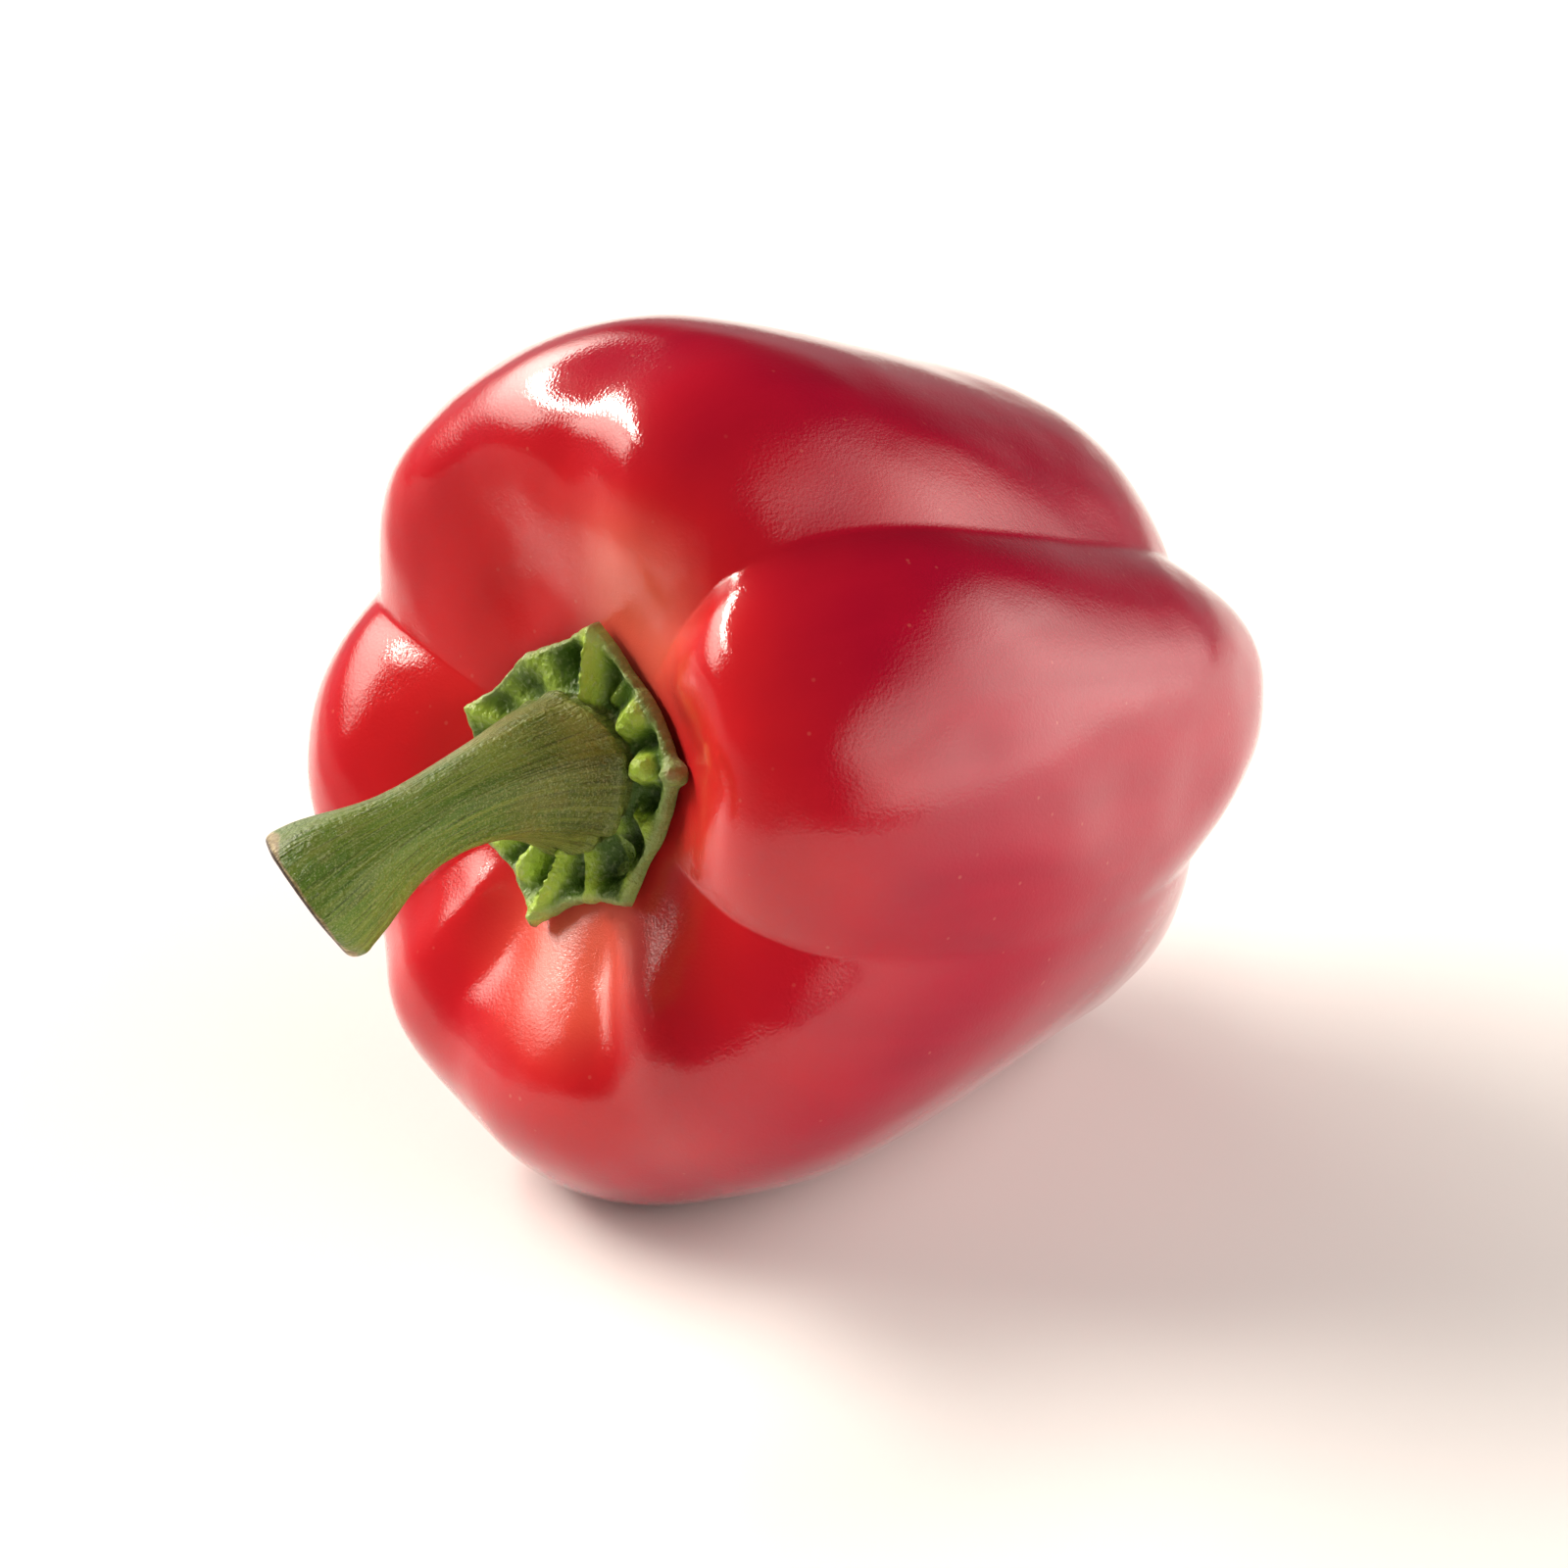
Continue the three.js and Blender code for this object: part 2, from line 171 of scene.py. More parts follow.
# Folds: bearing at the stem and at the blossom end, depth (below zero is a swelling), half width in degrees,
# and the stations where the fold begins, is whole, starts to fade and has gone.
FOLDS = [
    ((80, 76), -1.6, 13, (1.9, 2.9, 4.0, 5.8)),
    ((99, 97), 0.7, 9, (2.7, 3.5, 4.2, 5.2)),
    ((126, 126), 1.3, 17, (1.6, 2.4, 2.8, 3.9)),
    ((258, 256), 1.1, 11, (1.6, 2.5, 4.0, 6.2)),
    ((298, 293), 1.3, 10, (1.5, 2.4, 4.0, 6.2)),
    ((238, 240), -0.9, 9, (1.5, 2.3, 3.6, 5.2)),
    ((46, 46), -1.6, 15, (1.5, 2.5, 3.0, 4.3)),
    ((147, 147), -1.3, 15, (3.0, 4.2, 5.5, 7.5)),
    ((270, 270), -1.3, 26, (6.0, 7.6, 9.0, 10.2)),
    ((10, 12), 0.9, 8, (5.8, 6.5, 7.2, 8.2)),
]


# %% [markdown]
# The wall between the lines
#
# Between a furrow and the crown of a lobe the wall swells quickly at first and then flattens. A sine raised
# to a power gives that, and one number a lobe says how full it stands. The pleats near the calyx and the
# small swellings are added last, pushed in or out along the wall's own normal, so that they don't slide
# sideways.

# %% The wall of the fruit
def wall_controls(bearing):
    """Radius, height and true bearing of the thirteen controls of the wall, for an array of bearings.

    Between a furrow and a lobe the weight of the lobe is sin(90 deg * lift) ^ fullness, where lift grows from
    0 in the furrow to 1 on the crown: (hypot(rise, round) - round) over its end value, which rounds a furrow.
    """
    middles = np.array([line[0][1] for line in LINES])
    edges = np.append(middles, middles[0] + 360)
    around = (bearing - middles[0]) % 360 + middles[0]
    before = np.clip(np.searchsorted(edges, around, side="right") - 1, 0, len(LINES) - 1)
    after = (before + 1) % len(LINES)
    share = (around - edges[before]) / (edges[before + 1] - edges[before])
    before_is_lobe = before % 2 == 0
    lobe, furrow = np.where(before_is_lobe, before, after), np.where(before_is_lobe, after, before)
    rise = np.where(before_is_lobe, 1 - share, share)
    fullness = np.array([line[1] or 1 for line in LINES])[lobe]
    paths = np.array([(*DISH, *line[2], *DIMPLE) for line in LINES], float)
    soft = np.array(FURROW_ROUND)[:, None]
    lift = (np.hypot(rise, soft) - soft) / (np.hypot(1, soft) - soft)
    weight = np.sin(np.pi / 2 * lift) ** fullness
    low, high = paths[furrow].transpose(1, 2, 0), paths[lobe].transpose(1, 2, 0)
    radius = low[:, 0] + (high[:, 0] - low[:, 0]) * weight
    height = low[:, 1] + (high[:, 1] - low[:, 1]) * weight
    station = np.arange(len(FURROW_ROUND))
    half = np.clip((station - CREST_STATION) / WANDER_STATIONS, 0, 1) * 2 - 1
    ends = np.array([line[0] for line in LINES], float)
    stem_side = np.maximum(-half, 0)[:, None] ** 1.3 * (ends[:, 0] - ends[:, 1])
    blossom_side = np.maximum(half, 0)[:, None] ** 1.3 * (ends[:, 2] - ends[:, 1])
    wander = stem_side + blossom_side
    blend = smooth_step(0, 1, share)
    true_bearing = bearing + wander[:, before] * (1 - blend) + wander[:, after] * blend
    return radius, height, true_bearing


def fold_depth(bearing, station):
    """Sum over the folds of depth * bell curve of the bearing * window along the stations."""
    share = np.clip((station - CREST_STATION) / WANDER_STATIONS, 0, 1)
    depth = np.zeros_like(bearing)
    for (at_stem, at_blossom), deep, width, (begins, whole, fades, gone) in FOLDS:
        window = smooth_step(begins, whole, station) * (1 - smooth_step(fades, gone, station))
        depth += deep * window * bump(at_stem + (at_blossom - at_stem) * share, width, bearing)
    return depth


def skin(bearings, stations, relief=0.0):
    """Points of the skin, stations by bearings: the smooth wall, pushed in along its normal by the folds."""
    radius, height, bearing = wall_controls(bearings)
    last = len(FURROW_ROUND) - 1
    step = 0.01
    ahead, behind = np.minimum(stations + step, last), np.maximum(stations - step, 0)
    odd = [curve_weights(u, last + 1, -1) for u in (stations, ahead, behind)]
    even = [curve_weights(u, last + 1, 1) for u in (stations, ahead, behind)]
    along_radius, along_height = (odd[1] - odd[2]) @ radius, (even[1] - even[2]) @ height
    length = np.hypot(along_radius, along_height)
    turned = even[0] @ bearing
    depth = fold_depth(turned, stations[:, None]) - relief
    inward_radius, inward_height = depth * along_height / length, -depth * along_radius / length
    points = place_round(odd[0] @ radius + inward_radius, turned, even[0] @ height + inward_height)
    points[..., 2] = np.maximum(points[..., 2], 0)
    return points, turned


# %% [markdown]
# From grid to mesh
#
# Every piece of the pepper is one closed skin over a grid: rows run along it, columns run round it, and each
# end closes in a single point. Written as whole arrays, the faces follow from their row and column numbers.
# Each piece also gets a map of its surface (how far round, how far along), so that a finish can follow the
# growth lines of the plant, and a few painted values, such as how near a point is to the stem.

# %% From grid to mesh
def closed_mesh(name, rows, along, painted):
    """A closed mesh over rows of points; the first and last rows are single points written all round.

    A face joins column c and c+1 of row r and r+1. The surface map is (c / columns, distance along in
    decimetres). The painted values are float attributes of the points.
    """
    count, columns = rows.shape[:2]
    points = np.vstack([rows[0, :1], rows[1:-1].reshape(-1, 3), rows[-1, :1]])
    last = len(points) - 1
    column = np.arange(columns)
    following = (column + 1) % columns
    ring = 1 + np.arange(count - 3)[:, None] * columns
    corners = [ring + column, ring + columns + column, ring + columns + following, ring + following]
    quads = np.stack(corners, -1).reshape(-1, 4)
    end_ring = 1 + (count - 3) * columns
    start_fan = np.stack([0 * column, 1 + column, 1 + following], -1)
    end_fan = np.stack([end_ring + column, last + 0 * column, end_ring + following], -1)
    mesh = bpy.data.meshes.new(name)
    mesh.from_pydata(points, [], quads.tolist() + start_fan.tolist() + end_fan.tolist())

    left, right = column / columns, (column + 1) / columns
    lower, upper = along[1:-2, None] + 0 * left, along[2:-1, None] + 0 * left
    maps = [np.stack([left + 0 * lower, lower], -1), np.stack([left + 0 * lower, upper], -1),
            np.stack([right + 0 * lower, upper], -1), np.stack([right + 0 * lower, lower], -1)]
    middle = (left + right) / 2
    start_map = [(middle, along[0]), (left, along[1]), (right, along[1])]
    end_map = [(left, along[-2]), (middle, along[-1]), (right, along[-2])]
    fans = []
    for fan in (start_map, end_map):
        fans.append(np.stack([np.stack([x, y + 0 * x], -1) for x, y in fan], 1).reshape(-1, 2))
    surface_map = np.vstack([np.stack(maps, 2).reshape(-1, 2), *fans])
    mesh.uv_layers.new(name="Surface").data.foreach_set("uv", surface_map.ravel())
    for value, field in painted.items():
        single = np.concatenate([field[0, :1], field[1:-1].ravel(), field[-1, :1]])
        mesh.attributes.new(value, "FLOAT", "POINT").data.foreach_set("value", single.astype(np.float32))
    mesh.polygons.foreach_set("use_smooth", np.ones(len(mesh.polygons), bool))
    mesh.update()
    piece = bpy.data.objects.new(name, mesh)
    bpy.context.scene.collection.objects.link(piece)
    print(name, len(mesh.vertices), "points,", 2 * len(quads) + 2 * columns, "triangles")
    return piece


def distance_along(rows):
    """Mean length of the steps from row to row, added up, in decimetres."""
    steps = np.linalg.norm(np.diff(rows, axis=0), axis=-1).mean(1)
    return np.concatenate([[0], np.cumsum(steps)]) * 10


def outward(rows):
    """Unit normals of a closed grid: the step along it crossed with the step round it."""
    along = np.gradient(rows, axis=0)
    across = np.roll(rows, -1, axis=1) - np.roll(rows, 1, axis=1)
    normal = np.cross(along, across)
    return normal / np.maximum(np.linalg.norm(normal, axis=-1, keepdims=True), 1e-12)


# %% [markdown]
# The fruit
#
# The skin of a ripe pepper is taut, but never quite even: it swells and sinks by a tenth of a millimetre or
# so over every centimetre, and that is what bends the edges of its reflections. The relief is therefore part
# of the surface and not a trick of the finish. One small dent has healed over, low on the near side. The
# painted value "stem_end" is 1 round the calyx and 0 at the blossom end, and the finish paints the skin
# more orange there, as painted light. Another painted value marks the skin close to the calyx, where a peach
# glow of the light is painted into the colour and the wax has a finer grain, and "scar" marks the small dry
# spot where the flower fell off.

# %% The fruit
SKIN_COLUMNS = 420
SKIN_ROWS = 226
RELIEF_BROAD = 0.16
RELIEF_FINE = 0.05
# The dent: depth, bearing and station of its middle, and half widths in degrees and stations.
DENT_DEPTH = 0.06
DENT_PLACE = (339.5, 3.78)
DENT_WIDTHS = (2.1, 0.1)
# The painted peach glow near the calyx, and the finer grain there: where it starts to fade and ends, least
# share, and bearing, half width and strength of middles.
PAINTED_GLOW_STATIONS = (1.9, 4.0)
PAINTED_GLOW_LEAST = 0.25
PAINTED_GLOW_MIDDLES = ((72, 26, 1.0), (288, 32, 0.8))
SCAR_STATIONS = (11.5, 11.85)
STATIONS = len(FURROW_ROUND) - 1

bearings = np.arange(SKIN_COLUMNS) * 360 / SKIN_COLUMNS
stations = np.linspace(0, STATIONS, SKIN_ROWS)
around = (bearings / 360)[None, :] + 0 * stations[:, None]
share = (stations / STATIONS)[:, None] + 0 * bearings[None, :]
fade = smooth_step(1.5, 3, stations) * (1 - smooth_step(10.2, 11.2, stations))
relief = RELIEF_BROAD * soft_relief(around, share, 26, 16, seed=3)
relief += RELIEF_FINE * soft_relief(around, share, 64, 40, seed=4)
dent_round = turn_between(DENT_PLACE[0], bearings) / DENT_WIDTHS[0]
dent_along = (stations[:, None] - DENT_PLACE[1]) / DENT_WIDTHS[1]
dent_gap = np.hypot(dent_round, dent_along)
relief += DENT_DEPTH * (np.exp(-((dent_gap - 1.3) ** 2) / 0.3) - np.exp(-(dent_gap**2)))
fruit_rows, turned = skin(bearings, stations, relief * fade[:, None])
nearness = 1 - smooth_step(1.4, 6.5, stations)[:, None] + 0.1 * soft_relief(around, share, 18, 6, seed=5)
sides = [strength * bump(middle, width, bearings) for middle, width, strength in PAINTED_GLOW_MIDDLES]
painted_glow_round = PAINTED_GLOW_LEAST + (1 - PAINTED_GLOW_LEAST) * np.max(sides, axis=0)
painted_glow_and_grain = (1 - smooth_step(*PAINTED_GLOW_STATIONS, stations))[:, None] * painted_glow_round[None, :]
scar = smooth_step(*SCAR_STATIONS, stations)[:, None] + 0 * around
fruit = closed_mesh("fruit_skin", fruit_rows, distance_along(fruit_rows), {
    "stem_end": nearness, "painted_glow_and_grain": painted_glow_and_grain, "scar": scar,
})

# %% [markdown]
# The green cap and its stem
#
# The stalk grows straight out of the cap, so both are one skin. It is drawn by rings that run from the cut
# end down the stalk, out over the knobbly ribs of the calyx, round its edge and back underneath. Lofting a
# smooth surface through measured rings is the natural way here, because each stretch has its own simple
# rule: a ridged tube along a bent line, then a star whose ribs stand on a dish. First come the measurements.

# %% Measurements of the calyx and stem
STEM_ROUTE = np.array([(0, 0, -0.4), (0, 0, 13.6), (-1.1, -6.1, 22.2), (-5.7, -14, 28.4)])
STEM_RADII = np.array([8.7, 7.7, 6.5, 5.5, 4.9, 4.5, 4.35, 4.45, 5.1, 6.2, 7.1, 7.5])
STEM_RIDGES = (28, 92, 148, 206, 262, 326)
RIDGE_WIDTH = 17
RIDGE_HEIGHT = 0.07
CUT_HOLLOW = 0.5
CALYX_RADIUS = 13.1
CALYX_FOOT = 7.7
TEETH = ((92, 15.3), (16, 14.6), (316, 15.4), (268, 16.5), (216, 15.2), (172, 15.8))
TOOTH_WIDTH = 24
# The bay between two teeth: bearing, half width in degrees and depth.
BAY = (58, 20, 0.9)
CALYX_THICK = 1.3
# Ribs: bearing at the foot and at the rim, height, half width, share of the way where they begin and end, and
# how blunt the crest is (1 is a sharp wedge, 3 a round worm).
RIBS = (
    (84, 92, 3.5, 5.8, -0.3, 1.1, 1.15), (70, 72, 1.2, 6, 0.15, 0.7, 2.2),
    (47, 50, 2.4, 9, 0.0, 0.85, 2.6), (19, 17, 2.5, 9.5, 0.15, 0.62, 2.8),
    (353, 346, 1.7, 8, 0.2, 0.9, 2.0), (334, 322, 1.8, 7.5, -0.1, 0.95, 1.7),
    (303, 298, 2.3, 4.8, 0.0, 0.98, 1.5), (281, 268, 2.9, 5.5, -0.3, 1.1, 1.3),
    (257, 252, 2.6, 7, 0.0, 0.8, 2.0), (234, 233, 1.9, 7, 0.0, 0.9, 2.0),
    (214, 216, 2.3, 8, -0.3, 1.1, 1.6), (192, 193, 1.9, 7.5, 0.05, 0.8, 2.4),
    (170, 170, 1.9, 6.5, -0.3, 1.1, 1.3), (150, 152, 1.0, 11, 0.1, 0.9, 2.0),
    (122, 129, 1.2, 12, -0.1, 0.95, 2.0),
)
# From the foot to the edge: share of the way out, height of the hollows and share of a rib's height.
CALYX_STEPS = np.array([
    (0.0, -0.1, 0.8), (0.08, -0.5, 0.92), (0.25, -0.7, 1.0), (0.45, -0.5, 0.95), (0.6, 0.0, 0.8),
    (0.72, 0.5, 0.55), (0.82, 0.9, 0.32), (0.9, 1.05, 0.18), (0.97, 0.7, 0.1),
])
EDGE_HEIGHT = -0.75
EDGE_RISE = 0.3
UNDERSIDE = ((11.2, -1.2), (8, -1.7), (4, -1.9), (0, -1.95))
# Notches in the stem's foot: bearing, half width in degrees and depth.
FOOT_NOTCHES = (
    (88, 13, 1.0), (320, 8, 1.1), (279, 6, 0.5), (36, 7, 0.5), (130, 9, 0.6),
    (190, 10, 0.6), (236, 8, 0.6), (0, 6, 0.2),
)
RIM_WAVE = 0.25
# The cut end from its middle outwards: share of the radius, how far each ring sinks, and how much further it
# sinks at the lower corner, which is worn round.
CUT_RINGS = ((0.3, 0.45, 0), (0.6, 0.4, 0), (0.8, 0.15, 0), (0.9, 0, 1), (0.965, 0.2, 2.2), (1.0, 0.75, 4))
LOW_CORNER = (316, 60, 0.34)
# The foot's edge: how far it is undercut, its height, how much higher it is above, its swelling and the half
# height of that.
FOOT_UNDERCUT = 0.95
FOOT_LIFT = 0.9
FOOT_LIFT_ABOVE = 1.5
FOOT_SWELL = 0.35
FOOT_SWELL_HALF = 0.8


# %% [markdown]
# The stalk
#
# The stalk leaves the cap straight, bends down and widens towards its cut, and six soft ridges run along it.
# A tube swept along a bent middle line says all of that with few numbers. Its foot is notched where the ribs
# of the calyx meet it, and its edge overhangs a little.

# %% The rings of the stem
def bend(controls, t):
    """A cubic Bezier curve and its direction: the four controls weighted by the terms of (1-t + t)^3."""
    t = np.asarray(t)[:, None]
    a, b, c, d = controls
    point = (1 - t) ** 3 * a + 3 * (1 - t) ** 2 * t * b + 3 * (1 - t) * t**2 * c + t**3 * d
    way = (1 - t) ** 2 * (b - a) + 2 * (1 - t) * t * (c - b) + t**2 * (d - c)
    return point, way / np.linalg.norm(way, axis=1, keepdims=True)


def stem_rings(shares, bearing, radius_share=1.0, sink=0.0):
    """Rings across the bent middle line: radius by share, lifted by a bell curve at each ridge.

    The lowest few millimetres are the foot: it is notched at a few bearings, and under its edge, whose height
    depends on the bearing, the radius steps back by the undercut.
    """
    middle, along = bend(STEM_ROUTE, shares)
    front = np.array([1, 0, 0]) - along * along[:, :1]
    front /= np.linalg.norm(front, axis=1, keepdims=True)
    up = np.cross(along, front)
    radius = curve_weights(shares * (len(STEM_RADII) - 1), len(STEM_RADII), 1) @ STEM_RADII
    ridges = sum(bump(ridge, RIDGE_WIDTH, bearing) for ridge in STEM_RIDGES)
    reach = (radius * radius_share)[:, None] * (1 + RIDGE_HEIGHT * (ridges - 0.5))[None, :]
    height = middle[:, 2:]
    notch = sum(deep * bump(at, width, bearing) for at, width, deep in FOOT_NOTCHES)[None, :]
    edge_of_foot = (FOOT_LIFT + FOOT_LIFT_ABOVE * bump(75, 40, bearing))[None, :]
    reach = reach - notch * (1 - smooth_step(1.0, 6.5, height))
    reach = reach + FOOT_SWELL * np.exp(-(((height - edge_of_foot - 0.6) / FOOT_SWELL_HALF) ** 2))
    reach = reach - FOOT_UNDERCUT * (1 - smooth_step(-0.5, 0.15, height - edge_of_foot))
    angle = np.radians(bearing)
    spot = middle[:, None] - along[:, None] * (sink + 0 * bearing)[None, :, None]
    return (spot + front[:, None] * (reach * np.cos(angle))[..., None]
            + up[:, None] * (reach * np.sin(angle))[..., None])


# %% [markdown]
# The calyx
#
# The calyx is a leathery star of six blunt teeth with a thick lip, and knobbly ribs run out over it from the
# stem's foot. Every rib has its own bearing, height, width and length, read off the real one, because even
# ribs would look like a gear wheel. Where two meet, the cube root of summed cubes joins them smoothly.

# %% The rings of the calyx
def calyx_reach(bearing):
    """A plain radius less a shallow bay, plus a pointed tooth (1 - d / width)^2 at each of its bearings."""
    middle_of_bay, width, deep = BAY
    reach = CALYX_RADIUS - deep * bump(middle_of_bay, width, bearing)
    for middle, tip in TEETH:
        close = np.maximum(1 - abs(turn_between(middle, bearing)) / TOOTH_WIDTH, 0)
        reach = reach + (tip - CALYX_RADIUS) * close**2
    return reach


def wavy_reach(bearing):
    """The reach plus a small random wave of the rim."""
    return calyx_reach(bearing) + RIM_WAVE * soft_relief(bearing / 360, 0 * bearing, 26, 1, seed=21)


def rib_height(bearing, share):
    """The ribs at each bearing: each is height * exp(-(d / width)^blunt) in a window of the way out.

    They merge by the cube root of summed cubes. A rib swings from its bearing at the foot to that at the rim.
    """
    heights = []
    for foot, rim, height, width, begins, ends, blunt in RIBS:
        window = smooth_step(begins - 0.12, begins + 0.12, share)
        window = window * (1 - smooth_step(ends - 0.14, ends + 0.1, share))
        gap = abs(turn_between(foot + turn_between(foot, rim) * share, bearing)) / width
        heights.append(height * window * np.exp(-(gap**blunt)))
    return np.cbrt(np.sum(np.power(heights, 3), axis=0))


def calyx_rings(bearing, shares):
    """Rings from the stem's foot to the edge: the steps' hollows and ribs, on the star's outline."""
    hollow = np.interp(shares, CALYX_STEPS[:, 0], CALYX_STEPS[:, 1])[:, None]
    rib_share = np.interp(shares, CALYX_STEPS[:, 0], CALYX_STEPS[:, 2])[:, None]
    out = shares[:, None]
    reach = wavy_reach(bearing)[None, :]
    ribs = np.stack([rib_height(bearing, one) for one in shares])
    radius = CALYX_FOOT + (reach - CALYX_FOOT) * out
    height = hollow + EDGE_RISE * np.maximum(reach - CALYX_RADIUS, 0) * out**2 + ribs * rib_share
    angle = np.radians(bearing)
    return np.stack([radius * np.cos(angle), radius * np.sin(angle), height], -1), ribs


def flat_rings(bearing, pairs):
    """Rings given by a radius and a height for every bearing."""
    angle = np.radians(bearing)
    rings = [(radius * np.cos(angle), radius * np.sin(angle), height + 0 * angle) for radius, height in pairs]
    return np.stack([np.stack(ring, -1) for ring in rings])


# %% [markdown]
# One row of rings
#
# The rings are now put in order: the cut face from its middle out, the stalk, the top of the calyx, its edge
# and its underside. They stand closer together at the foot of the stem, where the form changes fastest.

# %% The calyx and stem as one skin
GREEN_COLUMNS = 400
green_bearings = np.arange(GREEN_COLUMNS) * 360 / GREEN_COLUMNS
end_point, end_way = bend(STEM_ROUTE, [1.0])
cut_middle = np.broadcast_to(end_point - end_way * CUT_HOLLOW, (1, GREEN_COLUMNS, 3))
low_side = LOW_CORNER[2] * bump(LOW_CORNER[0], LOW_CORNER[1], green_bearings)
cut = np.concatenate([
    stem_rings(np.ones(1), green_bearings, share_out, sink + more * low_side)
    for share_out, sink, more in CUT_RINGS
])
stem_shares = np.concatenate([np.linspace(0.92, 0.17, 23), np.linspace(0.155, 0.008, 18)])
stem = stem_rings(stem_shares, green_bearings)
steps_out = np.linspace(0, 0.97, 26)
top, ribs = calyx_rings(green_bearings, steps_out)
reach = wavy_reach(green_bearings)
edge_height = EDGE_HEIGHT + EDGE_RISE * (reach - CALYX_RADIUS)
edge = flat_rings(green_bearings, ((reach, edge_height + CALYX_THICK / 3), (reach - 0.3, edge_height)))
under = flat_rings(green_bearings, UNDERSIDE)
controls = np.concatenate([cut_middle, cut, stem, top, edge, under])
print("rings:", len(controls))

# %% [markdown]
# Detail on the green skin
#
# A fresh calyx is leathery and puckered: some ribs have a crest with small notches or end in a round knob,
# deep pits lie between them, and the rim is a thick pale lip. The stalk has fine strings along it. These are
# pushed out of, or into, the lofted surface along its own normals, which keeps the main form untouched. The
# painted values "rib", "hollow", "rim", "cut", "tip", "stalk" and "stalk_share" tell the finish where each
# of these is.

# %% Notches, knobs and strings
# Knobs and pits: bearing, distance from the axis, height or depth, and half width in millimetres.
KNOBS = (
    (18, 10.2, 0.7, 1.5), (47, 10.6, 0.3, 1.6), (60, 8.9, 0.5, 0.8), (16, 13.8, 1.0, 1.1),
    (92, 9.3, 0.4, 1.1), (268, 16.0, 0.2, 0.7), (256, 10.8, 0.4, 1.3), (118, 10.4, 0.4, 1.2),
    (140, 11.2, 0.4, 1.0),
)
PITS = (
    (328, 10.6, 1.6, 1.9), (312, 10.8, 0.9, 1.2), (341, 10.2, 0.7, 1.0), (4, 10.6, 1.1, 1.2),
    (357, 9.6, 0.6, 0.9), (33, 10.9, 0.9, 1.0), (74, 10.9, 1.0, 1.3), (60, 11.4, 0.5, 0.9),
    (291, 11.0, 0.8, 1.0), (267, 10.6, 0.5, 0.9), (103, 11.0, 1.2, 1.4), (121, 11.6, 0.3, 1.4),
    (144, 10.6, 0.4, 1.5), (160, 11.4, 0.6, 1.3), (181, 10.8, 0.6, 1.3), (204, 11.0, 0.7, 1.4),
    (225, 11.0, 0.7, 1.3), (245, 11.2, 0.6, 1.2),
)
# Ribs with notched crests: bearing at the foot and at the rim, and height of the notches.
NOTCHED_RIBS = ((88, 92, 0.05), (281, 268, 0.12), (257, 252, 0.05))
NOTCH_LENGTH = 1.0
STRING_HEIGHT = 0.04
PUCKER_HEIGHT = 0.12
# The rib height that is painted full, the width of the square that the pucker is drawn on, and the half width
# of a tooth's tip.
TALL_RIB = 2.6
PLAN_SPAN = 40
TIP_SIZE = 1.0
# The dry crust at the cut: least width, most extra width, where that is (bearing, half width, share), wave.
CRUST_LEAST = 0.45
CRUST_MORE = 1.5
CRUST_MIDDLES = ((116, 26, 1.0), (332, 9, 0.6))
CRUST_WAVE = 0.35

padded = np.concatenate([2 * controls[:1] - controls[1:2], controls, 2 * controls[-1:] - controls[-2:-1]])
first_stem, first_top = 1 + len(cut), 1 + len(cut) + len(stem)
first_edge, last_ring = first_top + len(top), len(controls) - 1
places = np.concatenate([
    np.linspace(0, first_stem, 22)[:-1], np.linspace(first_stem, first_top - 18, 70)[:-1],
    np.linspace(first_top - 18, first_top, 48)[:-1], np.linspace(first_top, first_edge, 82)[:-1],
    np.linspace(first_edge, last_ring, 20),
])
weights = curve_weights(places + 1, len(padded), 1)
green_rows = np.einsum("rc,cbk->rbk", weights, padded)
on_ring = np.arange(len(controls))


def along_rings(values):
    """A value given for each ring, read off at each row and written for every column."""
    return np.interp(places, on_ring, values)[:, None] + 0 * green_bearings[None, :]


def plan_gap(rows, middle, out):
    """Distance, seen along the axis, from the spot at a bearing and a distance from the axis."""
    angle = np.radians(middle)
    return np.hypot(rows[..., 0] - out * np.cos(angle), rows[..., 1] - out * np.sin(angle))


radius = np.hypot(green_rows[..., 0], green_rows[..., 1])
bearing = green_bearings[None, :] + 0 * radius
on_top = along_rings((on_ring >= first_top - 1) & (on_ring < first_edge + 1)) ** 2
on_stalk = along_rings((on_ring >= first_stem - 1) & (on_ring < first_top - 1))
before_top, after_top = np.zeros((first_top, 1)), np.zeros((last_ring + 1 - first_edge, 1))
rib_rows = np.concatenate([ribs[:1] + before_top, ribs, ribs[-1:] + after_top])
rib_field = np.einsum("rc,cb->rb", curve_weights(places, len(rib_rows), 1), rib_rows) / TALL_RIB
detail = np.zeros_like(radius)
hollow = np.zeros_like(radius)
for sign, spots in ((1, KNOBS), (-1, PITS)):
    for middle, out, height, width in spots:
        swell = on_top * height * np.exp(-((plan_gap(green_rows, middle, out) / width) ** 2))
        detail += sign * swell
        hollow += (sign < 0) * swell
for foot, rim, height in NOTCHED_RIBS:
    out = np.clip((radius - CALYX_FOOT) / (CALYX_RADIUS - CALYX_FOOT), 0, 1)
    crest = bump(0, 4.5, bearing - foot - (rim - foot) * out)
    detail += on_top * height * crest * np.sin(2 * np.pi * radius / NOTCH_LENGTH)
around = bearing / 360
lengthwise = places[:, None] / last_ring + 0 * around
plan = green_rows[..., :2] / PLAN_SPAN + 0.5
pucker = soft_relief(plan[..., 0], plan[..., 1], 36, 36, seed=11)
pucker += 0.6 * soft_relief(plan[..., 0], plan[..., 1], 80, 80, seed=12)
strings = soft_relief(around, lengthwise, 46, 9, seed=13)
strings += 0.6 * soft_relief(around, lengthwise, 110, 14, seed=14)
detail += on_top * PUCKER_HEIGHT * pucker + on_stalk * STRING_HEIGHT * (strings + 0.25 * pucker)
green_rows = green_rows + outward(green_rows) * detail[..., None]

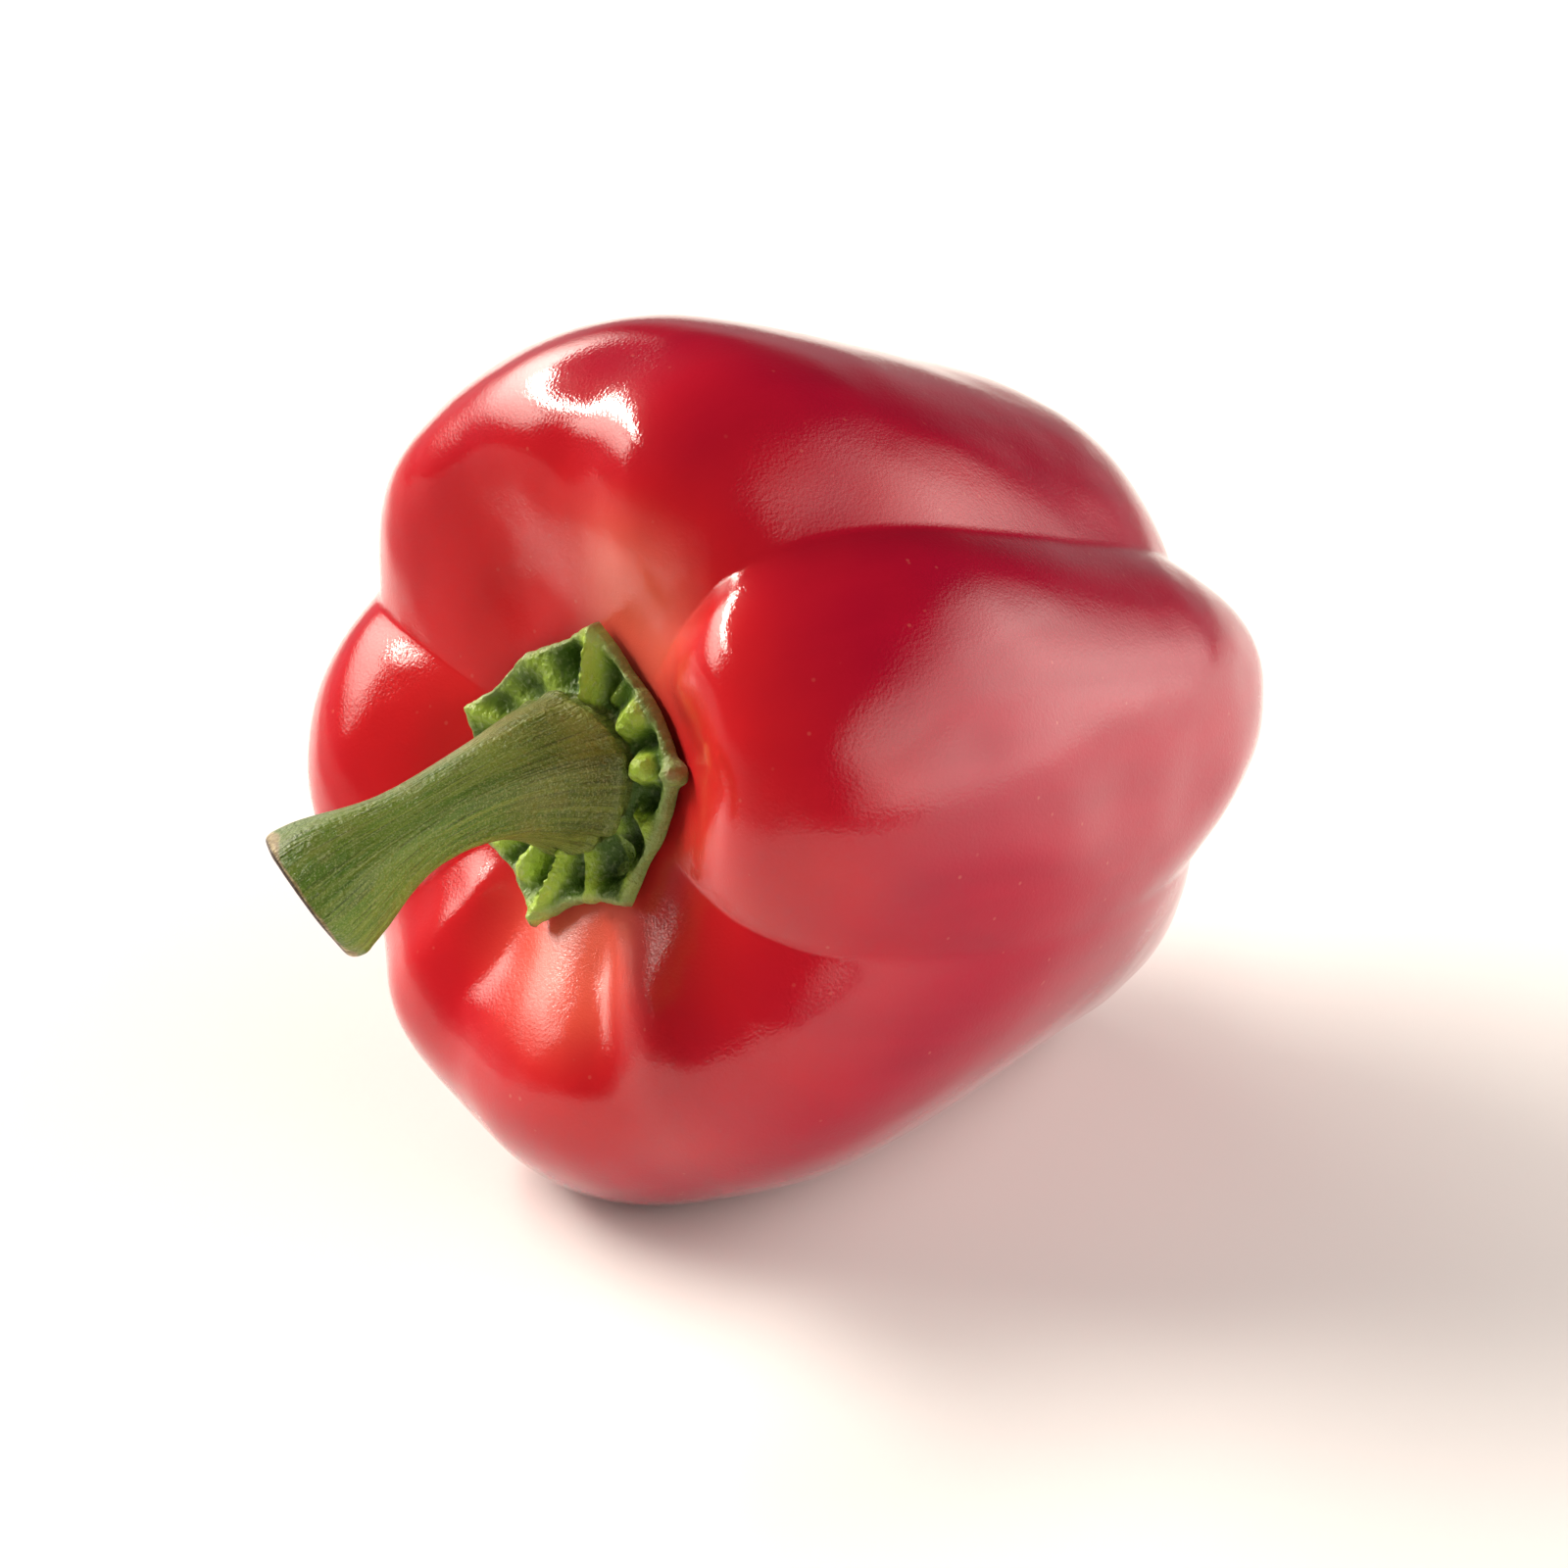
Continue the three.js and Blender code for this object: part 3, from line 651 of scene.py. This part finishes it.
tip = sum(np.exp(-((plan_gap(green_rows, middle, far) / TIP_SIZE) ** 2)) for middle, far in TEETH)
rim_rings = [first_top, first_edge - 7, first_edge - 2, last_ring]
edge_place = along_rings(np.interp(on_ring, rim_rings, [0, 0, 1, 1]))
past_cut = ((end_point - green_rows) * end_way).sum(-1)
wide = sum(part * bump(middle, width, green_bearings) for middle, width, part in CRUST_MIDDLES)
ragged = soft_relief(green_bearings / 360, 0 * green_bearings, 30, 1, seed=22)
crust_width = CRUST_LEAST + CRUST_MORE * wide + CRUST_WAVE * ragged
dark_rim = 1 - smooth_step(0.25, 0.6, past_cut)
tan_band = 1 - smooth_step(0.6 * crust_width, crust_width + 0.3, past_cut)
crust = (dark_rim + tan_band) / 2
cut_place = np.where(places[:, None] < first_stem + 2, crust, 0)
cut_place = np.maximum(cut_place, places[:, None] < first_stem - 3)
stalk_place = along_rings(np.interp(on_ring, [0, first_top - 1, first_top + 1, last_ring], [1, 1, 0, 0]))
stalk_share = along_rings(np.interp(on_ring, [first_stem, first_top], [1, 0]))
green_points = place(green_rows[..., 0], green_rows[..., 1], green_rows[..., 2])
green = closed_mesh("calyx_and_stem_skin", green_points, distance_along(green_points), {
    "rib": rib_field * on_top, "hollow": hollow, "rim": edge_place, "cut": cut_place, "tip": tip * on_top,
    "stalk": stalk_place, "stalk_share": stalk_share,
})
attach(fruit, "root")
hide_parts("fruit")
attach(green, "root")
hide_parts("calyx_and_stem")


# %% [markdown]
# Finishes
#
# Both finishes are made from the surface's own map and its painted values, so they follow the plant: streaks
# run from stem to blossom, and colours change where the growth changes. A small helper keeps the node graphs
# short: it adds a node, sets its inputs and returns it.

# %% Helpers for finishes
def linear(red, green_part, blue):
    """Screen colour from 0 to 255 to light: (c / 255) ^ 2.2, near enough for choosing a finish."""
    return tuple((value / 255) ** 2.2 for value in (red, green_part, blue)) + (1.0,)


class Finish:
    """A material with the usual surface shader, and short ways to feed it."""

    def __init__(self, name):
        self.material = bpy.data.materials.new(name)
        self.material.use_nodes = True
        self.tree = self.material.node_tree
        self.shader = self.tree.nodes["Principled BSDF"]

    def node(self, kind, inputs=None, **settings):
        """Add a node; inputs are values or the sockets that feed them."""
        node = self.tree.nodes.new("ShaderNode" + kind)
        for name, value in settings.items():
            setattr(node, name, value)
        self.feed(node, inputs or {})
        return node

    def feed(self, node, inputs):
        """Set each input of a node, or link the socket that feeds it."""
        for name, value in inputs.items():
            if isinstance(value, bpy.types.NodeSocket):
                self.tree.links.new(value, node.inputs[name])
            else:
                node.inputs[name].default_value = value

    def painted(self, name):
        """A value painted on the points of the mesh."""
        return self.node("Attribute", attribute_name=name).outputs["Fac"]

    def maths(self, operation, first, second=0.5, third=0.5):
        """One sum, product or comparison of values."""
        return self.node("Math", {0: first, 1: second, 2: third}, operation=operation).outputs[0]

    def span(self, value, low, high, to_low=0.0, to_high=1.0):
        """Take value from low..high to to_low..to_high, softly and without going past either."""
        inputs = {"Value": value, "From Min": low, "From Max": high, "To Min": to_low, "To Max": to_high}
        return self.node("MapRange", inputs, interpolation_type="SMOOTHSTEP").outputs["Result"]

    def mix(self, share, first, second):
        """First colour at share 0, second colour at share 1."""
        node = self.node("Mix", data_type="RGBA")
        self.feed(node, {0: share, 6: first, 7: second})
        return node.outputs[2]

    def tint(self, colour, other, value, low, high, most=1.0):
        """Mix another colour in, from none where the value is low to the share "most" where it is high."""
        return self.mix(self.span(value, low, high, 0, most), colour, other)

    def noise(self, where, scale, detail=2.0):
        """Soft random blotches, so many to the metre."""
        inputs = {"Vector": where, "Scale": scale, "Detail": detail, "Roughness": 0.5}
        return self.node("TexNoise", inputs).outputs["Fac"]

    def streaks(self, across, along, detail=2.0):
        """Noise on the surface map, stretched: so many waves round the piece and so many to the decimetre."""
        surface = self.node("TexCoord").outputs["UV"]
        stretched = self.node("Mapping", {"Vector": surface, "Scale": (across, along, 1)}).outputs["Vector"]
        return self.noise(stretched, 1.0, detail)

    def bumps(self, *layers):
        """Bump nodes in a chain; each layer is a height and how deep it is in metres."""
        normal = None
        for height, depth in layers:
            inputs = {"Height": height, "Strength": 1.0, "Distance": depth}
            if normal:
                inputs["Normal"] = normal
            normal = self.node("Bump", inputs).outputs["Normal"]
        return normal


# %% [markdown]
# Waxy red skin
#
# Ripe pepper skin is a clear hard wax over deep red flesh: a mirror-like coat with sharp reflections over a
# soft red. Round the stem the colour is painted more orange, and close to the calyx peach: painted light for
# the warm glow where the light falls on the stem end. Close to the calyx its wax is also finely grained,
# which makes it look satin. A grain finer than half a millimetre breaks up the edges of the reflections, and
# a few faint pale specks show through, as on every real pepper.

# %% The skin's finish
skin_finish = Finish("waxy_red_skin")
here = skin_finish.node("TexCoord").outputs["Object"]
broad = skin_finish.noise(here, 45)
streak = skin_finish.streaks(70, 5)
red = skin_finish.mix(streak, (0.25, 0.001, 0.019, 1), (0.34, 0.002, 0.024, 1))
# Round the stem the red is painted more orange: painted light for the warm glow where the light falls there.
painted_lit_warmth = skin_finish.maths("MULTIPLY_ADD", broad, 0.6, skin_finish.painted("stem_end"))
red = skin_finish.tint(red, (0.6, 0.014, 0.018, 1), painted_lit_warmth, 0.3, 1.2)
# Close to the calyx a peach glow is painted in: painted light for the warm haze of the light there.
close = skin_finish.maths("MULTIPLY_ADD", broad, 0.3, skin_finish.painted("painted_glow_and_grain"))
red = skin_finish.tint(red, (0.8, 0.12, 0.075, 1), close, 0.3, 1.0, 0.9)
dry = skin_finish.maths("MULTIPLY_ADD", skin_finish.noise(here, 900), 0.5, skin_finish.painted("scar"))
red = skin_finish.tint(red, (0.2, 0.09, 0.04, 1), dry, 0.6, 1.1)
cells = skin_finish.node("TexVoronoi", {"Vector": here, "Scale": 400.0, "Randomness": 1.0}).outputs
chosen = skin_finish.node("SeparateColor", {"Color": cells["Color"]}).outputs["Red"]
dots = skin_finish.span(cells["Distance"], 0.11, 0.05)
speck = skin_finish.maths("MULTIPLY", dots, skin_finish.span(chosen, 0.45, 0.8))
red = skin_finish.mix(skin_finish.maths("MULTIPLY", speck, 0.2), red, (0.62, 0.2, 0.14, 1))
satin = skin_finish.maths("MULTIPLY", skin_finish.noise(here, 7000, 1), skin_finish.painted("painted_glow_and_grain"))
skin_grain = skin_finish.bumps(
    (skin_finish.noise(here, 1000), 0.000012), (skin_finish.noise(here, 3200, 1), 0.00002), (satin, 0.00003)
)
skin_finish.feed(skin_finish.shader, {
    "Base Color": red, "Roughness": 0.3, "Specular IOR Level": 0.04,
    "Specular Tint": (1.0, 0.6, 0.4, 1), "Coat Weight": 1.0,
    "Coat Roughness": 0.08, "Coat IOR": 1.5, "Normal": skin_grain, "Coat Normal": skin_grain,
})
fruit.data.materials.append(skin_finish.material)
print("finish:", skin_finish.material.name)

# %% [markdown]
# Leathery green calyx and stem
#
# The stalk is a middle green, fresher towards the cut and paler at its foot, with darker strings along it and
# a fine pale speckle. On the calyx, light is painted onto the crests of its ribs and shade into its pits, so
# they stand out brighter and darker; it has a pale felted lip that dries to brown at the tips of the teeth.
# The cut end has dried to a dark brown face with a tan band behind it.

# %% The green finish
green_finish = Finish("leathery_green")
here = green_finish.node("TexCoord").outputs["Object"]
grain = green_finish.noise(here, 1800, 3)
speckle = green_finish.noise(here, 5000)
blotch = green_finish.noise(here, 260, 3)
broad_tone = green_finish.noise(here, 90)
coarse_strings = green_finish.streaks(60, 6, 3)
fine_strings = green_finish.streaks(170, 14, 2)
up_stalk = green_finish.painted("stalk_share")
cut_end = green_finish.painted("cut")
stalk = green_finish.mix(green_finish.span(broad_tone, 0.35, 0.65), linear(66, 82, 26), linear(108, 116, 50))
# Each row mixes one more tone in: what it follows, where that is low and high, the most of it, and the tone.
for value, low, high, most, tone in (
    (up_stalk, 0.35, 0.75, 0.75, (72, 108, 18)),
    (up_stalk, 0.3, 0.05, 0.4, (122, 136, 68)),
    (coarse_strings, 0.4, 0.7, 0.6, (122, 136, 56)),
    (fine_strings, 0.5, 0.7, 0.7, (46, 62, 18)),
    (blotch, 0.5, 0.75, 0.45, (110, 112, 54)),
    (speckle, 0.5, 0.65, 0.4, (150, 158, 98)),
):
    stalk = green_finish.tint(stalk, linear(*tone), value, low, high, most)
leaf = linear(76, 106, 38)
# Below, the crests of the calyx's ribs are painted brighter and its pits darker: painted light and painted
# shade.
for value, low, high, most, tone in (
    (green_finish.painted("rib"), 0.05, 0.6, 1.0, (152, 182, 62)),
    (green_finish.painted("hollow"), 0.1, 1.0, 0.7, (58, 84, 32)),
    (grain, 0.5, 0.75, 0.4, (176, 192, 136)),
    (green_finish.painted("rim"), 0.1, 0.9, 0.6, (142, 160, 92)),
):
    leaf = green_finish.tint(leaf, linear(*tone), value, low, high, most)
tan = green_finish.mix(green_finish.span(grain, 0.4, 0.7), linear(126, 106, 70), linear(182, 164, 124))
colour = green_finish.mix(green_finish.span(green_finish.painted("stalk"), 0.2, 0.8), leaf, stalk)
for value, low, high, most, tone in (
    (green_finish.painted("tip"), 0.5, 1.0, 0.8, linear(142, 116, 74)),
    (cut_end, 0.1, 0.45, 0.9, tan),
    (cut_end, 0.6, 0.95, 1.0, linear(58, 42, 32)),
):
    colour = green_finish.tint(colour, tone, value, low, high, most)
green_finish.feed(green_finish.shader, {
    "Base Color": colour, "Roughness": 0.38, "Specular IOR Level": 0.35,
    "Normal": green_finish.bumps((grain, 0.0003), (fine_strings, 0.00015)),
})
green.data.materials.append(green_finish.material)
print("finish:", green_finish.material.name)


# %% [markdown]
# Floor and light
#
# The pepper lies on a white floor that is painted greyer beyond the picture's edge, to the left and towards
# the viewer: painted shade, so that the skin mirrors a darker floor from those sides. Its shine is nothing
# but a picture of the lights, so they are placed by the angles at which they mirror in the skin: a bright
# strip high on the far left with a dimmer panel below it, and a wide soft panel low on the near right, which
# is what turns the right-hand side pink. That panel is a little patchy, like a real reflector. The sky gives
# a faint glow low down on the far side.

# %% Floor and light
def light_panel(name, azimuth, height_angle, distance, size, radiance, tint, soft, dim=1.0, uneven=0.0):
    """A rectangular light facing the pepper, placed by its azimuth and height angle in degrees.

    Its brightness is radiance * e(left) * e(right) * e(bottom) * e(top) * fall, where e is a soft step over
    the share "soft" of the side next to that edge, and fall runs from 1 at the top to dim at the bottom. An
    uneven panel loses up to that share of its brightness in soft patches.
    """
    turn, lift = np.radians(azimuth), np.radians(height_angle)
    way = Vector((np.cos(lift) * np.cos(turn), np.cos(lift) * np.sin(turn), np.sin(lift)))
    light = bpy.data.lights.new(name, "AREA")
    light.shape = "RECTANGLE"
    light.size, light.size_y = size
    light.energy = np.pi * size[0] * size[1]
    light.color = tint
    light.use_nodes = True
    tree = light.node_tree
    across = tree.nodes.new("ShaderNodeSeparateXYZ")
    on_panel = tree.nodes.new("ShaderNodeNewGeometry").outputs["Parametric"]
    tree.links.new(on_panel, across.inputs["Vector"])
    patches = tree.nodes.new("ShaderNodeTexNoise")
    patches.inputs["Scale"].default_value = PATCHES
    tree.links.new(on_panel, patches.inputs["Vector"])
    strength = None
    x, y, patch = across.outputs["X"], across.outputs["Y"], patches.outputs["Fac"]
    steps = [
        (x, 0.0, soft[0], 0.0), (x, 1.0, 1 - soft[1], 0.0),
        (y, 0.0, soft[2], 0.0), (y, 1.0, 1 - soft[3], 0.0),
        (y, 0.0, 1.0, dim), (patch, 0.35, 0.65, 1 - uneven),
    ]
    for value, start, end, low in steps:
        step = tree.nodes.new("ShaderNodeMapRange")
        step.interpolation_type = "SMOOTHSTEP"
        tree.links.new(value, step.inputs["Value"])
        for key, number in {"From Min": start, "From Max": end, "To Min": low, "To Max": 1.0}.items():
            step.inputs[key].default_value = number
        product = tree.nodes.new("ShaderNodeMath")
        product.operation = "MULTIPLY"
        product.inputs[0].default_value = radiance
        if strength:
            tree.links.new(strength, product.inputs[0])
        tree.links.new(step.outputs["Result"], product.inputs[1])
        strength = product.outputs[0]
    tree.links.new(strength, tree.nodes["Emission"].inputs["Strength"])
    lamp = bpy.data.objects.new(name, light)
    lamp.location = middle_point + way * distance
    lamp.rotation_euler = way.to_track_quat("Z", "Y").to_euler()
    lamp.visible_camera = False
    bpy.context.scene.collection.objects.link(lamp)


FLOOR_HALF = 3.0
PATCHES = 5.0
SKY_LEAST = 0.02
# The directions to the picture's left and to the viewer, along the floor.
TO_LEFT = (-0.695, 0.719)
TO_NEAR = (-0.719, -0.695)
middle_point = Vector((0.0, 0.0, 0.045))
floor_mesh = bpy.data.meshes.new("floor")
corners = [(FLOOR_HALF * x, FLOOR_HALF * y, 0) for x, y in ((-1, -1), (1, -1), (1, 1), (-1, 1))]
floor_mesh.from_pydata(corners, [], [(0, 1, 2, 3)])
floor = bpy.data.objects.new("floor", floor_mesh)
bpy.context.scene.collection.objects.link(floor)
floor_finish = Finish("white_floor_painted_shade")
spot = floor_finish.node("SeparateXYZ", {"Vector": floor_finish.node("TexCoord").outputs["Object"]}).outputs
to_left, to_near = (
    floor_finish.maths("MULTIPLY_ADD", spot["X"], x_part, floor_finish.maths("MULTIPLY", spot["Y"], y_part))
    for x_part, y_part in (TO_LEFT, TO_NEAR)
)
# White in the middle, and painted greyer beyond the picture's edge, to the left and towards the viewer:
# painted shade, so that the skin mirrors a darker floor from those sides.
to_left = floor_finish.maths("MULTIPLY_ADD", to_near, 0.13, to_left)
left_fade = floor_finish.span(to_left, 0.12, 0.19)
painted_floor_shade = floor_finish.maths("MAXIMUM", left_fade, floor_finish.span(to_near, 0.22, 0.36))
floor_finish.feed(floor_finish.shader, {
    "Base Color": floor_finish.mix(painted_floor_shade, (0.85, 0.85, 0.85, 1), (0.2, 0.2, 0.2, 1)), "Roughness": 0.7,
    "Specular IOR Level": 0.1,
})
floor_mesh.materials.append(floor_finish.material)

WARM = (1.0, 0.9, 0.8)
SOFT_WARM = (1.0, 0.9, 0.82)
light_panel("key_strip", 112, 37, 1.0, (1.1, 0.16), 50, WARM, (0.15, 0.35, 0.35, 0.35))
light_panel("key_window", 97, 22, 1.0, (1.85, 0.46), 9.6, WARM, (0.3, 0.15, 0.4, 0.05), dim=0.35)
light_panel("side_card", -66, 22, 0.36, (1.9, 0.56), 3.7, SOFT_WARM, (0.45, 0.4, 0.25, 0.4), uneven=0.25)

world = bpy.data.worlds.new("studio")
world.use_nodes = True
sky = world.node_tree
way = sky.nodes.new("ShaderNodeTexCoord").outputs["Generated"]
parts = sky.nodes.new("ShaderNodeSeparateXYZ")
sky.links.new(way, parts.inputs["Vector"])


def sky_span(value, low, high, to_low, to_high):
    """A soft step of one value of the sky's direction."""
    step = sky.nodes.new("ShaderNodeMapRange")
    step.interpolation_type = "SMOOTHSTEP"
    sky.links.new(value, step.inputs["Value"])
    for name, number in {"From Min": low, "From Max": high, "To Min": to_low, "To Max": to_high}.items():
        step.inputs[name].default_value = number
    return step.outputs["Result"]


def sky_maths(operation, first, second):
    """One sum or product of values of the sky's direction."""
    node = sky.nodes.new("ShaderNodeMath")
    node.operation = operation
    for socket, value in zip(node.inputs, (first, second)):
        if isinstance(value, float):
            socket.default_value = value
        else:
            sky.links.new(value, socket)
    return node.outputs[0]


x_share, y_share = (
    sky_maths("MULTIPLY", parts.outputs[axis], -part) for axis, part in zip(("X", "Y"), TO_NEAR)
)
away_from_viewer = sky_maths("ADD", x_share, y_share)
low_sky = sky_span(parts.outputs["Z"], 0.0, 0.25, 0.28, 0.0)
behind = sky_span(away_from_viewer, -0.2, 0.5, 0.1, 1.0)
brightness = sky_maths("ADD", sky_maths("MULTIPLY", low_sky, behind), SKY_LEAST)
sky.links.new(brightness, sky.nodes["Background"].inputs["Strength"])
sky.nodes["Background"].inputs["Color"].default_value = (1, 1, 1, 1)
bpy.context.scene.world = world
bpy.context.scene.view_settings.view_transform = "Standard"
print("lights:", [one.name for one in bpy.data.lights])

# %% [markdown]
# The camera
#
# The picture is taken from the near left and from above, through a long lens, so the pepper shows its stem
# end and its side at once. The camera's right, up and forward directions are written down directly.

# %% The camera
CAMERA_RIGHT = Vector((0.695, -0.719, 0))
CAMERA_FORWARD = Vector((0.652, 0.630, -0.423))
SEAT_IN_VIEW = (-20.58, 1.26, 728)
LENS = 168.75
SENSOR = 36
right = CAMERA_RIGHT.normalized()
forward = (CAMERA_FORWARD - right * CAMERA_FORWARD.dot(right)).normalized()
upward = right.cross(forward)
seat_point = Vector(SEAT * MILLIMETRE)
aside, above, away = (value * MILLIMETRE for value in SEAT_IN_VIEW)
camera_data = bpy.data.cameras.new("camera")
camera_data.lens = LENS
camera_data.sensor_width = SENSOR
camera = bpy.data.objects.new("camera", camera_data)
turn = Matrix((right, upward, -forward)).transposed().to_4x4()
seat_from_camera = right * aside + upward * above + forward * away
camera.matrix_world = Matrix.Translation(seat_point - seat_from_camera) @ turn
bpy.context.scene.collection.objects.link(camera)
bpy.context.scene.camera = camera
print("camera:", LENS, "mm lens")
